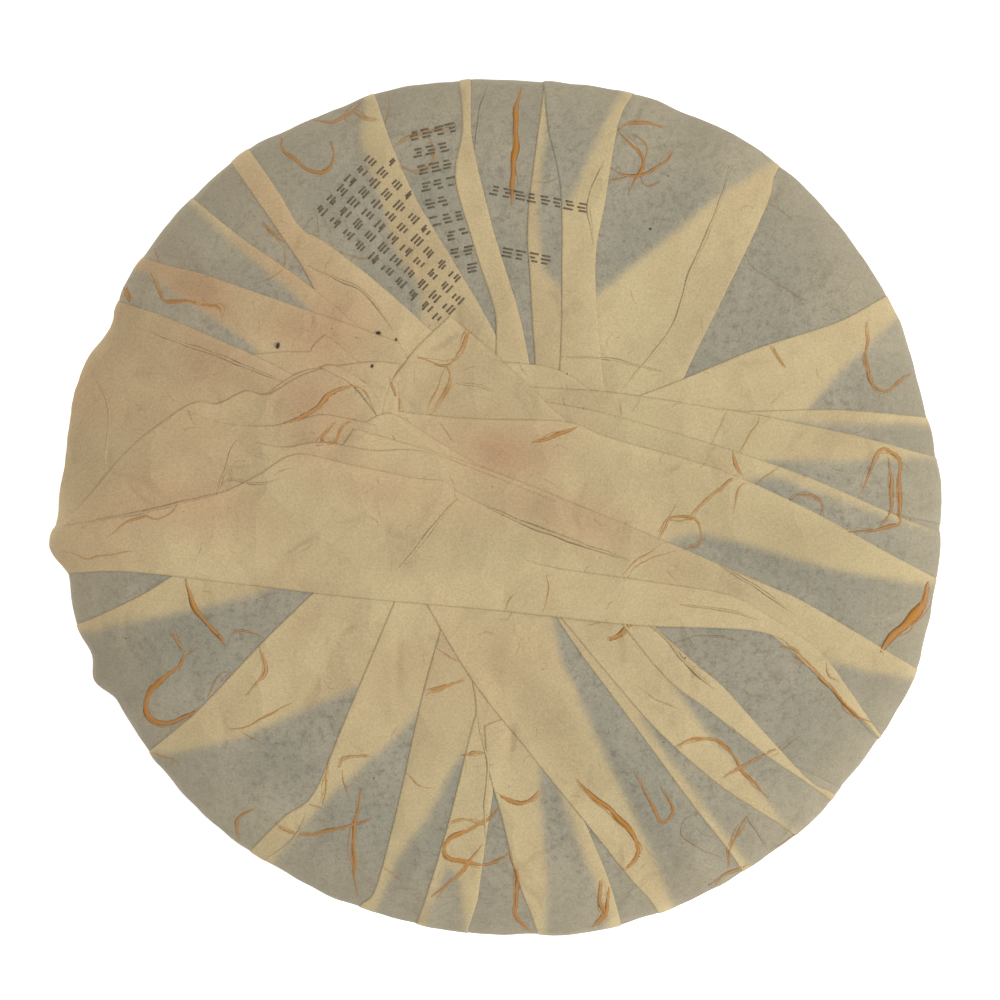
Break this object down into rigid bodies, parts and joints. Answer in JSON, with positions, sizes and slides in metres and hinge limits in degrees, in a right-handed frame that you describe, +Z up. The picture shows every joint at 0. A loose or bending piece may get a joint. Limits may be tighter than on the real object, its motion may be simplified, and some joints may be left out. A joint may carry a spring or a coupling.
{
  "type": "wrapped tea cake",
  "caption": "Round cake of pressed dark tea, shut in thin handmade paper that is pleated towards the middle of its back and closed by a broad cross flap.",
  "frame": {"origin": "on the ground, on the resting face, under the middle of the round cake", "axes": "+Z up through the pleated back, the cake's short way; +X and +Y across it, with the closing flap running from -X down to +X -Y"},
  "size_m": [0.2046, 0.1978, 0.0273],
  "materials": {
    "paper": "matte"
  },
  "bodies": {
    "root": {"wrapped_tea_cake": "paper"}
  },
  "joints": []
}
